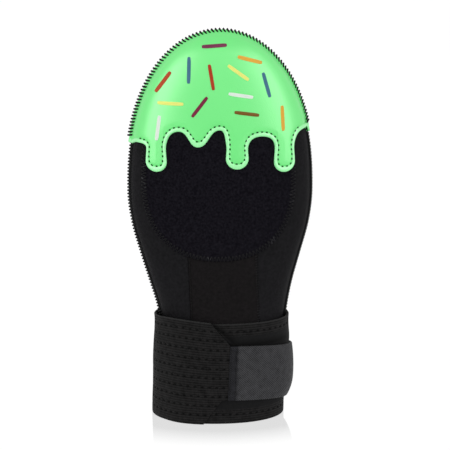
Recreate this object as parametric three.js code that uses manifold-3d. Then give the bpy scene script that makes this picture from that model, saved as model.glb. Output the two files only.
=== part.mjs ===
// A baseball sliding mitt: a stiff, padded hand cover that a base runner slips over one hand.
// It stands on its cuff with the fingertips up, as it does when nobody wears it.
// The hollow shell is sewn from six neoprene panels. A knit patch covers the board pocket on the back
// of the hand, glossy leather caps the fingertips, and an elastic strap with a hook tab closes the wrist.
// Millimetres. +Z runs from wrist to fingertips, -Y is the back of the hand, and the seam lies in Y = 0.
import * as THREE from "three";
import { mergeVertices } from "three/addons/utils/BufferGeometryUtils.js";
import Module from "manifold-3d";

const wasm = await Module();
wasm.setup();

// Shell
const mittLength = 290; // cuff hem to the leather fingertip
const widestHeight = 170; // cuff hem to the widest line across the palm
const palmWidth = 136; // across the widest line, outside the neoprene
const wristWidth = 96; // side to side at the cuff
const wristDepth = 66; // back of the hand to palm at the cuff
const boardDepth = 28.5; // seam to the back of the hand at the widest line
const palmDepth = 31; // seam to the palm at the widest line, where the padding is
const wristLean = 1.5; // how far the cuff stands off centre
const neoprene = 3;
const middlePanelWidth = 51.4; // between the two upright seams on either face
const middlePanelShift = 1.3; // how far the middle of that panel stands to the right
const wristFullness = 2.15; // superellipse exponent of the section at the wrist
const palmFullness = 2.5; // and at the palm, where the boards flatten it
const domeOutline = 2.35; // exponent of the fingertip outline seen from the front
const domeProfile = 2.6; // and seen from the side

// Knit patch over the board pocket
const knit = 0.8;
const patchInset = 12.5; // from the shell's edge to the patch
const patchHeight = 180; // of the centre of the patch's round lower end

// Leather fingertip caps
const leather = 1.2;
const hemHeight = 214; // the level from which the drips hang
const dripLength = 26;
const dripWidth = 16;
const palmHemSag = 8; // how far the plain palm hem dips in its middle

// Strap and hook tab
const strapHeight = 76;
const elastic = 1.6;
const tabHeight = 40;
const tabLength = 98;
const tabLineHeight = 39.6; // of the tab's middle line where it leaves the elastic
const hookTape = 1.8;
const tabDrop = 4.5; // how far the tab has dropped where it passes the side of the wrist
const tabBulge = 3.2; // how far the tab stands off the elastic there

const gap = 0.3; // clearance between neighbouring pieces

const palmHalf = palmWidth / 2;
const wristHalf = wristWidth / 2;
const patchLift = knit + gap; // what the patch adds below the leather
const domeHeight = mittLength - leather - gap - widestHeight;

// The shell below its widest line. Each row is one section: at is its height as a share of widestHeight,
// widen and slim say how far it has gone from the wrist's width and depth to the palm's, and lean is the
// share of wristLean by which it stands off centre.
const shellSections = [
  { at: 0, widen: 0, slim: 0, lean: -0.9 },
  { at: 0.224, widen: 0, slim: 0, lean: 0.1 },
  { at: 0.42, widen: 0.01, slim: 0.02, lean: 0.95 },
  { at: 0.5, widen: 0.095, slim: 0.15, lean: 0.75 },
  { at: 0.6, widen: 0.29, slim: 0.38, lean: 0.15 },
  { at: 0.72, widen: 0.575, slim: 0.65, lean: 0 },
  { at: 0.86, widen: 0.875, slim: 0.88, lean: 0 },
  { at: 1, widen: 1, slim: 1, lean: 0 },
];

// The lower edge of the front cap, from left to right. across is a share of palmHalf, hang a share of
// dripLength below hemHeight, and bulb a share of dripWidth, for the long drips that have upright sides.
const hemTurns = [
  { across: -0.88, hang: 0.19 },
  { across: -0.687, hang: 1, bulb: 0.95 },
  { across: -0.456, hang: -0.13 },
  { across: -0.254, hang: 0.3 },
  { across: -0.019, hang: -0.165 },
  { across: 0.162, hang: 0.925, bulb: 1.06 },
  { across: 0.424, hang: 0 },
  { across: 0.666, hang: 1.03, bulb: 1 },
  { across: 0.91, hang: -0.13 },
];
const neckShare = 0.92; // a drip's neck as a share of its bulb
const neckHang = 0.36; // where the neck is, as a share of dripLength

// Mesh resolution
const stepsAround = 48;
const strapLevels = 4; // the shell has its rings at the same heights there
const ringsAboveStrap = 7; // from the strap to the widest line
const ringsOnDome = 11;
const curvePoints = 7;
const reach = 2 * mittLength; // anything certainly outside the mitt
const skirt = 8; // how far uncut solids run below the hem

const stepAngle = (2 * Math.PI) / stepsAround;
const degree = Math.PI / 180;

const smooth = (t) => {
  const s = Math.min(1, Math.max(0, t));
  return s * s * (3 - 2 * s);
};

// One column of the shell's sections at a share of widestHeight, as a smooth curve through the rows.
function sectionColumn(column, at) {
  const last = shellSections.length - 1;
  const rowSlope = (i) => {
    if (i === 0 || i === last) return 0;
    const [before, after] = [shellSections[i - 1], shellSections[i + 1]];
    return (after[column] - before[column]) / (after.at - before.at);
  };
  let i = 0;
  while (i < last - 1 && at > shellSections[i + 1].at) i++;
  const [low, high] = [shellSections[i], shellSections[i + 1]];
  const span = high.at - low.at;
  const t = Math.min(1, Math.max(0, (at - low.at) / span));
  const start = (1 + 2 * t) * (1 - t) ** 2 * low[column] + t * (1 - t) ** 2 * span * rowSlope(i);
  const end = t * t * (3 - 2 * t) * high[column] - t * t * (1 - t) * span * rowSlope(i + 1);
  return start + end;
}

// A place on the shell's height: rise runs from 0 at the hem through 1 at the widest line to 2 at the tip.
// Above the widest line it is an angle, so the rings close up towards the tip.
function heightAt(rise) {
  if (rise <= 1) return rise * widestHeight;
  return widestHeight + domeHeight * Math.sin((rise - 1) * 90 * degree);
}

function skinSection(rise) {
  const toPalm = smooth((heightAt(rise) - strapHeight) / (widestHeight - strapHeight));
  const fullness = wristFullness + (palmFullness - wristFullness) * toPalm;
  if (rise <= 1) {
    const at = Math.max(0, rise);
    const widen = sectionColumn("widen", at);
    const slim = sectionColumn("slim", at);
    return {
      half: wristHalf + (palmHalf - wristHalf) * widen,
      front: wristDepth / 2 + (boardDepth - wristDepth / 2) * slim,
      back: wristDepth / 2 + (palmDepth - wristDepth / 2) * slim,
      shift: wristLean * sectionColumn("lean", at),
      fullness,
    };
  }
  const up = Math.min(1, (heightAt(rise) - widestHeight) / domeHeight);
  const profile = Math.sqrt(1 - up ** domeProfile);
  return {
    half: palmHalf * Math.sqrt(1 - up ** domeOutline),
    front: boardDepth * profile,
    back: palmDepth * profile,
    shift: 0,
    fullness,
  };
}

const power = (value, exponent) => Math.sign(value) * Math.abs(value) ** exponent;

// A point of the shell's outside. The angle runs from the right seam over the back of the hand, at a
// quarter turn, to the left seam, and on round the palm.
function skinPoint(rise, angle) {
  const { half, front, back, shift, fullness } = skinSection(rise);
  const across = half * power(Math.cos(angle), 2 / fullness);
  const side = power(Math.sin(angle), 2 / fullness);
  return new THREE.Vector3(shift + across, -(side > 0 ? front : back) * side, heightAt(rise));
}

const probe = 1e-3;
function skinNormal(rise, angle) {
  if (rise > 2 - probe) return new THREE.Vector3(0, 0, 1);
  const round = skinPoint(rise, angle + probe).sub(skinPoint(rise, angle - probe));
  const low = skinPoint(Math.max(0, rise - probe), angle);
  const along = skinPoint(rise + probe, angle).sub(low);
  return along.cross(round).normalize();
}

// The point that lies a given distance outside the skin, or inside it where the distance is negative.
function offSkin(rise, angle, distance) {
  return skinPoint(rise, angle).addScaledVector(skinNormal(rise, angle), distance);
}

// On the cuff a distance is level, so that hems stay in their own planes.
function offCuff(height, angle, distance) {
  const point = offSkin(height / widestHeight, angle, distance);
  point.z = height;
  return point;
}

function geometryOf(points, triangles) {
  const geometry = new THREE.BufferGeometry();
  const flat = points.flatMap((p) => [p.x, p.y, p.z]);
  geometry.setAttribute("position", new THREE.Float32BufferAttribute(flat, 3));
  geometry.setIndex(triangles.flat());
  return geometry;
}

function solidOf(geometry) {
  geometry.deleteAttribute("normal");
  geometry.deleteAttribute("uv");
  const merged = mergeVertices(geometry, 1e-4);
  const vertProperties = new Float32Array(merged.attributes.position.array);
  const triVerts = new Uint32Array(merged.index.array);
  return new wasm.Manifold(new wasm.Mesh({ numProp: 3, vertProperties, triVerts }));
}

// The closed body whose surface lies a distance off the skin. The distance may vary with rise and angle.
function bodyOff(distance) {
  const distanceAt = typeof distance === "function" ? distance : () => distance;
  const strapRise = strapHeight / widestHeight;
  const rises = [];
  for (let i = 0; i < strapLevels; i++) rises.push((strapRise * i) / strapLevels);
  for (let i = 0; i < ringsAboveStrap; i++) rises.push(strapRise + ((1 - strapRise) * i) / ringsAboveStrap);
  for (let i = 0; i < ringsOnDome; i++) rises.push(1 + i / ringsOnDome);
  const rings = rises.map((rise) => {
    const ring = [];
    for (let k = 0; k < stepsAround; k++) {
      const angle = k * stepAngle;
      ring.push(offSkin(rise, angle, distanceAt(rise, angle)));
    }
    return ring;
  });
  const hem = rings[0].map((p) => new THREE.Vector3(p.x, p.y, -skirt));
  rings.unshift(hem);
  const points = rings.flat();
  const tip = points.push(offSkin(2, 0, distanceAt(2, 0))) - 1;
  const foot = points.push(new THREE.Vector3(0, 0, -skirt)) - 1;
  const top = (rings.length - 1) * stepsAround;
  const triangles = [];
  for (let k = 0; k < stepsAround; k++) {
    const next = (k + 1) % stepsAround;
    for (let r = 0; r < rings.length - 1; r++) {
      const [low, high] = [r * stepsAround, (r + 1) * stepsAround];
      triangles.push([low + k, high + k, high + next], [low + k, high + next, low + next]);
    }
    triangles.push([foot, k, next], [top + k, tip, top + next]);
  }
  return solidOf(geometryOf(points, triangles));
}

// A block from one corner to the other, used as a knife.
function block(low, high) {
  const size = high.map((value, i) => value - low[i]);
  const geometry = new THREE.BoxGeometry(...size);
  geometry.translate(...low.map((value, i) => value + size[i] / 2));
  return solidOf(geometry);
}

// A front-view outline pushed through the mitt: towards the back of the hand, or towards the palm.
function throughFront(shape, towardsPalm = false) {
  const geometry = new THREE.ExtrudeGeometry(shape, {
    depth: reach,
    bevelEnabled: false,
    curveSegments: curvePoints,
  });
  geometry.rotateX(90 * degree);
  geometry.translate(0, towardsPalm ? reach + gap / 2 : -gap / 2, 0);
  return solidOf(geometry);
}

const hemLevel = (turn) => hemHeight - turn.hang * dripLength;

// The lower edge of the front cap as a path. It runs level at each turn and joins them in soft S curves.
// A long drip has upright sides that swell from a neck into a round bulb.
function hemPath() {
  const half = 0.5; // how far each control point reaches towards the next point
  const neckLevel = hemHeight - neckHang * dripLength;
  const path = new THREE.Path();
  path.moveTo(-reach, hemLevel(hemTurns[0]));
  path.lineTo(hemTurns[0].across * palmHalf, hemLevel(hemTurns[0]));
  hemTurns.slice(1).forEach((turn, i) => {
    const from = path.currentPoint;
    const [x, z] = [turn.across * palmHalf, hemLevel(turn)];
    const middle = from.x + (x - from.x) * half;
    if (turn.bulb) {
      const radius = (turn.bulb * dripWidth) / 2;
      const neck = radius * neckShare;
      const bulbLevel = z + radius;
      const swell = bulbLevel + radius * half;
      const edge = from.x + (x - neck - from.x) * half;
      const fall = neckLevel + (from.y - neckLevel) * half;
      path.bezierCurveTo(edge, from.y, x - neck, fall, x - neck, neckLevel);
      path.bezierCurveTo(x - neck, swell, x - radius, swell, x - radius, bulbLevel);
      path.absarc(x, bulbLevel, radius, Math.PI, 2 * Math.PI, false);
      path.bezierCurveTo(x + radius, swell, x + neck, swell, x + neck, neckLevel);
    } else if (hemTurns[i].bulb) {
      path.bezierCurveTo(from.x, from.y + (z - from.y) * half, middle, z, x, z);
    } else {
      path.bezierCurveTo(middle, from.y, middle, z, x, z);
    }
  });
  path.lineTo(reach, path.currentPoint.y);
  return path;
}

function frontCapOutline() {
  const edge = hemPath().getPoints(curvePoints);
  return new THREE.Shape([...edge, new THREE.Vector2(reach, reach), new THREE.Vector2(-reach, reach)]);
}

// The palm's hem joins the two ends of the front hem in one plain, shallow curve.
function palmCapOutline() {
  const [left, right] = [hemTurns[0], hemTurns.at(-1)];
  const middle = (hemLevel(left) + hemLevel(right)) / 2 - 2 * palmHemSag;
  const shape = new THREE.Shape();
  shape.moveTo(-reach, hemLevel(left));
  shape.lineTo(-palmHalf, hemLevel(left));
  shape.quadraticCurveTo(0, middle, palmHalf, hemLevel(right));
  shape.lineTo(reach, hemLevel(right));
  shape.lineTo(reach, reach);
  shape.lineTo(-reach, reach);
  return shape;
}

// The patch keeps its inset from the shell's edge and ends in a half circle below. It can be grown evenly.
function patchOutline(grown = 0) {
  const half = palmHalf - patchInset + grown;
  const rise = widestHeight + domeHeight - patchInset + grown - patchHeight;
  const shape = new THREE.Shape();
  shape.absarc(0, patchHeight, half, Math.PI, 2 * Math.PI, false);
  const outlinePoints = 4 * curvePoints;
  for (let i = 1; i < outlinePoints; i++) {
    const turn = (Math.PI * i) / outlinePoints;
    const up = Math.sin(turn);
    const across = half * Math.sign(Math.cos(turn)) * Math.sqrt(1 - up ** domeOutline);
    shape.lineTo(across, patchHeight + rise * up);
  }
  return shape;
}

// How near a point is to the shell's edge seen from the front: 0 in the middle, 1 on the seam.
function edgeShare(rise, angle) {
  const { fullness } = skinSection(rise);
  const across = Math.abs(Math.cos(angle)) ** (2 / fullness);
  if (rise <= 1) return across;
  const up = ((heightAt(rise) - widestHeight) / domeHeight) ** domeOutline;
  return Math.sqrt(across * across * (1 - up) + up);
}

// The front cap's outside: leather on the shell at the seam, rising to leather on the patch.
function frontCapSkin(rise, angle) {
  const patchEdge = 1 - patchInset / palmHalf;
  const onPatch = smooth((1 - edgeShare(rise, angle)) / ((1 - patchEdge) * 0.8));
  return gap + leather + patchLift * (Math.sin(angle) > 0 ? onPatch : 0);
}

const shellBody = bodyOff(0);
const onShell = bodyOff(gap);
const shell = shellBody.subtract(bodyOff(-neoprene));
const knitPatch = throughFront(patchOutline());
const grownPatch = throughFront(patchOutline(gap));

function frontPanel(left, right) {
  return shell.intersect(block([left, -reach, 0], [right, -gap / 2, reach]));
}

function palmPanel(left, right) {
  return shell.intersect(block([left, gap / 2, 0], [right, reach, reach]));
}

function boardPatch() {
  return bodyOff(gap + knit).subtract(onShell).intersect(knitPatch);
}

function frontCap() {
  const overPatch = bodyOff(gap + knit + gap).intersect(grownPatch);
  const cut = throughFront(frontCapOutline());
  return bodyOff(frontCapSkin).subtract(onShell).subtract(overPatch).intersect(cut);
}

function palmCap() {
  const cut = throughFront(palmCapOutline(), true);
  return bodyOff(gap + leather).subtract(onShell).intersect(cut);
}

// A band that follows the cuff. Each station is { angle, low, high, inner, outer }, where inner and outer
// give the distance off the skin at a share of the band's height.
function bandSolid(stations) {
  const points = [];
  for (const station of stations) {
    for (const face of ["inner", "outer"]) {
      for (let j = 0; j <= strapLevels; j++) {
        const share = j / strapLevels;
        const height = station.low + (station.high - station.low) * share;
        points.push(offCuff(height, station.angle, station[face](share)));
      }
    }
  }
  const perFace = strapLevels + 1;
  const perStation = 2 * perFace;
  const at = (i, j) => i * perStation + j;
  const loop = [];
  for (let j = 0; j <= strapLevels; j++) loop.push(j);
  for (let j = strapLevels; j >= 0; j--) loop.push(perFace + j);
  const triangles = [];
  for (let i = 0; i < stations.length - 1; i++) {
    loop.forEach((from, n) => {
      const to = loop[(n + 1) % loop.length];
      triangles.push([at(i, from), at(i + 1, to), at(i, to)]);
      triangles.push([at(i, from), at(i + 1, from), at(i + 1, to)]);
    });
  }
  const end = stations.length - 1;
  for (let j = 0; j < strapLevels; j++) {
    const [a, b, c, d] = [j, j + 1, perFace + j + 1, perFace + j];
    triangles.push([at(0, a), at(0, b), at(0, c)], [at(0, a), at(0, c), at(0, d)]);
    triangles.push([at(end, c), at(end, b), at(end, a)], [at(end, d), at(end, c), at(end, a)]);
  }
  const solid = solidOf(geometryOf(points, triangles));
  if (solid.volume() > 0) return solid;
  return solidOf(geometryOf(points, triangles.map(([a, b, c]) => [a, c, b])));
}

// The strap is sewn on left of the middle of the back of the hand, runs right and once round the wrist,
// passes over its own beginning, and tapers to the height of the tab.
const strapStart = 120;
const strapEnd = 82.5 - 360;
const lapStart = 120 - 360; // from here it lies on its own beginning
const lapRise = 30; // the stretch over which it climbs there
const topTaperStart = 97.5 - 360;
const bottomTaperStart = 101 - 360;
const bottomTaperEnd = 87 - 360;
const onElastic = gap + elastic + gap;

function strapStation(turn) {
  const climb = smooth((lapStart + lapRise - turn) / lapRise);
  const base = gap + (onElastic - gap) * climb;
  const taper = (from, to) => Math.min(1, Math.max(0, (from - turn) / (from - to)));
  const tabTop = tabLineHeight + tabHeight / 2;
  const tabFoot = tabLineHeight - tabHeight / 2;
  return {
    angle: turn * degree,
    low: tabFoot * taper(bottomTaperStart, bottomTaperEnd),
    high: strapHeight + (tabTop - strapHeight) * taper(topTaperStart, strapEnd),
    inner: () => base,
    outer: () => base + elastic,
  };
}

function strap() {
  const turns = [bottomTaperStart, bottomTaperEnd];
  for (let turn = strapStart; turn >= strapEnd; turn -= 360 / stepsAround) turns.push(turn);
  turns.sort((a, b) => b - a);
  return bandSolid(turns.map(strapStation));
}

// The tab meets the strap's tapered end, lies on the strap's first turn, and bulges where it passes the
// side of the wrist. Its length is measured round the wrist at its middle line.
const tabStart = strapEnd + 360;
const dropAt = (turn) => tabDrop * (1 - Math.sin(turn * degree));

function tabStation(turn) {
  const middle = tabLineHeight - dropAt(turn) + dropAt(tabStart);
  const passing = Math.cos(turn * degree) ** 4;
  const base = (share) => onElastic + tabBulge * passing * (0.25 + 0.75 * (1 - (2 * share - 1) ** 2));
  return {
    angle: turn * degree,
    low: middle - tabHeight / 2,
    high: middle + tabHeight / 2,
    inner: base,
    outer: (share) => base(share) + hookTape,
  };
}

function tab() {
  const pace = 360 / stepsAround / 30;
  const stations = [];
  let along = 0;
  let before = offCuff(tabLineHeight, tabStart * degree, onElastic);
  for (let step = 1; along < tabLength; step++) {
    const turn = tabStart - step * pace;
    const here = offCuff(tabLineHeight, turn * degree, onElastic);
    along += here.distanceTo(before);
    before = here;
    const onRing = step % 30 === 0;
    if (along >= gap && (stations.length === 0 || onRing)) stations.push(tabStation(turn));
    if (along >= tabLength && !onRing) stations.push(tabStation(turn));
  }
  return bandSolid(stations);
}

function meshOf(name, solid, colour, roughness) {
  const { vertProperties, triVerts } = solid.getMesh();
  const geometry = new THREE.BufferGeometry();
  geometry.setAttribute("position", new THREE.BufferAttribute(vertProperties, 3));
  geometry.setIndex(new THREE.BufferAttribute(triVerts, 1));
  const material = new THREE.MeshStandardMaterial({ color: colour, roughness, metalness: 0 });
  const mesh = new THREE.Mesh(geometry, material);
  mesh.name = name;
  return mesh;
}

const leftSeam = middlePanelShift - middlePanelWidth / 2;
const rightSeam = middlePanelShift + middlePanelWidth / 2;
const sides = {
  left: [-reach, leftSeam - gap / 2],
  middle: [leftSeam + gap / 2, rightSeam - gap / 2],
  right: [rightSeam + gap / 2, reach],
};
const neopreneBlack = 0x232325;
const middleBlack = 0x191718;
const knitBlack = 0x151419;
const mintGreen = 0x71f185;
const elasticBlack = 0x1e1e1e;
const tapeGrey = 0x353537;

const mitt = new THREE.Group();
mitt.add(
  meshOf("front_left_panel", frontPanel(...sides.left), neopreneBlack, 0.7),
  meshOf("front_middle_panel", frontPanel(...sides.middle), middleBlack, 0.75),
  meshOf("front_right_panel", frontPanel(...sides.right), neopreneBlack, 0.7),
  meshOf("palm_left_panel", palmPanel(...sides.left), neopreneBlack, 0.7),
  meshOf("palm_middle_panel", palmPanel(...sides.middle), neopreneBlack, 0.7),
  meshOf("palm_right_panel", palmPanel(...sides.right), neopreneBlack, 0.7),
  meshOf("board_patch", boardPatch(), knitBlack, 0.9),
  meshOf("fingertip_cap_front", frontCap(), mintGreen, 0.35),
  meshOf("fingertip_cap_palm", palmCap(), mintGreen, 0.35),
  meshOf("wrist_strap", strap(), elasticBlack, 0.85),
  meshOf("hook_tab", tab(), tapeGrey, 0.8),
);

// The origin is the middle of the mitt's bounding box, on the plane of the hem.
const bounds = new THREE.Box3().setFromObject(mitt);
const middle = bounds.getCenter(new THREE.Vector3());
mitt.position.set(-middle.x, -middle.y, -bounds.min.z);

export default mitt;
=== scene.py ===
import bmesh
import bpy
import numpy as np
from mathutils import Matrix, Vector


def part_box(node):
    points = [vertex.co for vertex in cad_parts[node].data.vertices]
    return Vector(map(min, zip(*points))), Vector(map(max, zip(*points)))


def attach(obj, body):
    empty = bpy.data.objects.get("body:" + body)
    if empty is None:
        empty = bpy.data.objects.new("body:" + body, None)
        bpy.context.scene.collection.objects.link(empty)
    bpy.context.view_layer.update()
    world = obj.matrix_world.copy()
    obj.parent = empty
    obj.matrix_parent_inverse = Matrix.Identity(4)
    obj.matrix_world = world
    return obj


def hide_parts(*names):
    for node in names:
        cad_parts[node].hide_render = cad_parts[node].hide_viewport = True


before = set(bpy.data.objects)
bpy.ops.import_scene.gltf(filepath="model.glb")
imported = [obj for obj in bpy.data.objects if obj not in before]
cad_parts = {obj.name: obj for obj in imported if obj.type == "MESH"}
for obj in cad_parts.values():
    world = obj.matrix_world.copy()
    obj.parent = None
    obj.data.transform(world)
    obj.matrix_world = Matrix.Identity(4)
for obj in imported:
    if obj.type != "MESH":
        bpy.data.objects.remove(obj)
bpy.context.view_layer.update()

# The shell is a hollow hand shape of 3 mm neoprene, flattened front to back by the boards inside.
# Six panels are sewn edge to edge: three on the back of the hand and three on the palm.
MM = 0.001
TIP = 284.0  # height of the neoprene fingertip, below its seam
WIDEST = 170.0  # height of the widest line
STRAP_TOP = 76.0
MITT_HALF = 68.0  # half the widest width, over the seams
PALM_HALF, WRIST_HALF = 65.85, 45.4  # half widths of the shell, inside the side seam
SEAM_HIGH, SEAM_BASE = 2.4, 5.4  # the side seam is a low ridge: its height and half its foot
WRIST_DEPTH, BOARD_DEPTH, PALM_DEPTH = 33.0, 28.5, 31.0
WRIST_LEAN = 1.5
WRIST_FULLNESS, PALM_FULLNESS = 2.15, 2.5
DOME_OUTLINE, DOME_PROFILE = 2.35, 2.6
NEOPRENE = 3.0
SEAMS = {"left": (-22.7, -24.9), "right": (27.7, 25.7)}  # each upright seam at the strap and at SEAM_TOP
SEAM_TOP = 130.0
SEAM_TURNS_IN = 232.0  # the height from which the upright seams draw in with the dome
SEAM_ROLL, SEAM_SINK = 1.5, 0.55  # how far from a seam a panel starts to roll in, and how deep
SEAM_PLANE = (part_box("front_middle_panel")[1].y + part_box("palm_middle_panel")[0].y) / 2 / MM

# Sections below the widest line. at is a share of its height; widen and slim go from the wrist's width
# and depth to the palm's; lean is a share of WRIST_LEAN.
AT = np.array([0, 0.224, 0.42, 0.5, 0.6, 0.72, 0.86, 1])
WIDEN = np.array([0, 0, -0.02, 0.07, 0.275, 0.56, 0.87, 1])
SLIM = np.array([0, 0, 0.02, 0.15, 0.38, 0.65, 0.88, 1])
LEAN = np.array([-0.9, 0.1, 1.38, 1.23, 0.65, 0.42, 0.37, 0.27])


def ease(t):
    """A share that leaves 0 and reaches 1 level: 3t^2 - 2t^3, held at both ends."""
    t = np.clip(t, 0, 1)
    return t * t * (3 - 2 * t)


def through_rows(values, at):
    """A cubic curve through the rows. Each row's slope is that of the line between its neighbours."""
    slope = np.zeros(len(values))
    slope[1:-1] = (values[2:] - values[:-2]) / (AT[2:] - AT[:-2])
    i = np.clip(np.searchsorted(AT, at, side="right") - 1, 0, len(AT) - 2)
    span = AT[i + 1] - AT[i]
    t = np.clip((at - AT[i]) / span, 0, 1)
    start = (1 + 2 * t) * (1 - t) ** 2 * values[i] + t * (1 - t) ** 2 * span * slope[i]
    end = t * t * (3 - 2 * t) * values[i + 1] - t * t * (1 - t) * span * slope[i + 1]
    return start + end


def section(z, wider=0.0):
    """The section at each height: half width, depth in front and behind, sideways shift and fullness."""
    at = np.clip(z / WIDEST, 0, 1)
    up = np.clip((z - WIDEST) / (TIP - WIDEST), 0, 1 - 1e-12)
    profile = np.sqrt(1 - up**DOME_PROFILE)
    widen, slim = through_rows(WIDEN, at), through_rows(SLIM, at)
    half = (WRIST_HALF + wider + (PALM_HALF - WRIST_HALF) * widen) * np.sqrt(1 - up**DOME_OUTLINE)
    front = (WRIST_DEPTH + (BOARD_DEPTH - WRIST_DEPTH) * slim) * profile
    back = (WRIST_DEPTH + (PALM_DEPTH - WRIST_DEPTH) * slim) * profile
    toward_palm = ease((z - STRAP_TOP) / (WIDEST - STRAP_TOP))
    fullness = WRIST_FULLNESS + (PALM_FULLNESS - WRIST_FULLNESS) * toward_palm
    return half, front, back, WRIST_LEAN * through_rows(LEAN, at), fullness


def height_of(rise):
    """Rise 0 to 1 is the height up to the widest line; 1 to 2 follows a sine up to the tip."""
    above = WIDEST + (TIP - WIDEST) * np.sin(np.clip(rise - 1, 0, 1) * np.pi / 2)
    return np.where(rise <= 1, rise * WIDEST, above)


def rise_of(z):
    """The rise at a height, the reverse of height_of."""
    above = 1 + np.arcsin(np.clip((z - WIDEST) / (TIP - WIDEST), 0, 1)) * 2 / np.pi
    return np.where(z <= WIDEST, z / WIDEST, above)


def signed_power(value, exponent):
    return np.sign(value) * np.abs(value) ** exponent


def unit(vectors):
    """The vectors drawn out or in to the length 1."""
    return vectors / np.maximum(np.linalg.norm(vectors, axis=-1, keepdims=True), 1e-12)


def arc_of(line):
    """How far along a line each of its points lies."""
    return np.concatenate([[0], np.cumsum(np.linalg.norm(np.diff(line, axis=0), axis=1))])


def on_line(at, arc, line):
    """The points of a line at distances along it."""
    return np.stack([np.interp(at, arc, line[:, k]) for k in range(line.shape[1])], -1)


def way_on(at, arc, line, step):
    """The unit direction of a line at distances along it, taken over a step either way."""
    return unit(on_line(at + step, arc, line) - on_line(at - step, arc, line))


def bare_skin(rise, angle, wider=0.0):
    """Each section is a superellipse; angle 0 is the right seam, a quarter turn the back of the hand."""
    z = height_of(rise)
    half, front, back, shift, fullness = section(z, wider)
    side = signed_power(np.sin(angle), 2 / fullness)
    x = shift + half * signed_power(np.cos(angle), 2 / fullness)
    return np.stack([x, -np.where(side > 0, front, back) * side, z + 0 * x], axis=-1)


def skin_normal(rise, angle, wider=0.0):
    """The unit normal: the cross product of short steps up and round, and straight up at the tip."""
    step = 1e-4
    low = np.clip(rise, step, 2 - 3 * step)
    up = bare_skin(low + step, angle, wider) - bare_skin(low - step, angle, wider)
    round_ = bare_skin(low, angle + step, wider) - bare_skin(low, angle - step, wider)
    return unit(np.cross(up, round_))


def skin(rise, angle, off=0.0, wider=0.0, ridge=1.0):
    """The point that stands a distance off the shell's outside, ridge and all."""
    rise, angle, off = np.broadcast_arrays(
        np.asarray(rise, float), np.asarray(angle, float), np.asarray(off, float)
    )
    point = bare_skin(rise, angle, wider)
    out = off + ridge * seam_ridge(point[..., 1])
    return point + skin_normal(rise, angle, wider) * out[..., None]


def seam_ridge(y):
    """The height of the side seam's ridge by the distance from the seam plane: the cube of what is left."""
    return SEAM_HIGH * np.clip(1 - np.abs(y) / SEAM_BASE, 0, 1) ** 3


# How far round a face a point lies, as a share of the way from its middle line to the seam. The shares
# follow the palm's section, where a superellipse of this depth is measured once.
QUARTER = np.linspace(0, 1, 2001) ** 2 * np.pi / 2
ARC_X = np.cos(QUARTER) ** (2 / PALM_FULLNESS) * PALM_HALF
ARC_Y = np.sin(QUARTER) ** (2 / PALM_FULLNESS) * BOARD_DEPTH
ARC = arc_of(np.stack([ARC_X, ARC_Y], -1))
ARC_SHARE = 1 - ARC / ARC[-1]
GIRTH = ARC[-1] / PALM_HALF  # a face's half girth for each millimetre of half width


def angle_at_share(share):
    """The angle on the back of the hand at a share from -1, the left seam, to 1, the right seam."""
    turn = np.interp(np.abs(share), ARC_SHARE[::-1], QUARTER[::-1])
    return np.where(share >= 0, turn, np.pi - turn)


def share_at_angle(angle):
    """The reverse of angle_at_share."""
    turn = np.minimum(angle, np.pi - angle)
    return np.interp(turn, QUARTER, ARC_SHARE) * np.where(angle <= np.pi / 2, 1, -1)


def front_angle(x, z):
    """The angle of the point that the front view shows at a place across and a height."""
    half, _, _, shift, fullness = section(z)
    across = np.clip((x - shift) / np.maximum(half, 1e-9), -1, 1)
    return np.arccos(np.clip(signed_power(across, fullness / 2), -1, 1))


def rolled(inset, radius, drop):
    """How far an edge has rolled in: a quarter ellipse that falls by drop over the last radius."""
    t = 1 - np.clip(inset / radius, 0, 1)
    return -drop * (1 - np.sqrt(1 - t * t))


def crowded(count, pull=0.75):
    """Shares from 0 to 1 that stand closer together near both ends."""
    t = np.linspace(0, 1, count)
    return t - pull * np.sin(2 * np.pi * t) / (2 * np.pi)


def mesh_piece(name, points, faces, cloth, extra=None):
    """A closed mesh from points in millimetres. cloth is each point's place along and up its cloth.

    extra holds further values for each point, by the names of the attributes that carry them."""
    mesh = bpy.data.meshes.new(name)
    placed = points.reshape(-1, 3) * MM + (0, SEAM_PLANE * MM, 0)
    mesh.from_pydata(placed.tolist(), [], [list(f) for f in faces])
    flat = np.zeros((len(placed), 3), np.float32)
    flat[:, :2] = cloth.reshape(-1, 2)
    layer = mesh.attributes.new("cloth", "FLOAT_VECTOR", "POINT")
    layer.data.foreach_set("vector", flat.ravel())
    for key, values in (extra or {}).items():
        layer = mesh.attributes.new(key, "FLOAT", "POINT")
        layer.data.foreach_set("value", values.ravel().astype(np.float32))
    form = bmesh.new()
    form.from_mesh(mesh)
    bmesh.ops.remove_doubles(form, verts=form.verts, dist=2e-7)
    bmesh.ops.recalc_face_normals(form, faces=form.faces)
    form.to_mesh(mesh)
    form.free()
    mesh.polygons.foreach_set("use_smooth", [True] * len(mesh.polygons))
    piece = bpy.data.objects.new(name, mesh)
    bpy.context.scene.collection.objects.link(piece)
    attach(piece, "root")
    return piece


def grid_faces(rows, columns, closed_columns=False):
    """The quads between neighbouring points of a grid that is stored row by row."""
    r = np.arange(rows - 1)[:, None]
    c = np.arange(columns if closed_columns else columns - 1)[None, :]
    c2 = (c + 1) % columns
    quads = [r * columns + c, r * columns + c2, (r + 1) * columns + c2, (r + 1) * columns + c]
    return np.stack(np.broadcast_arrays(*quads), axis=-1).reshape(-1, 4)


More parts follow.
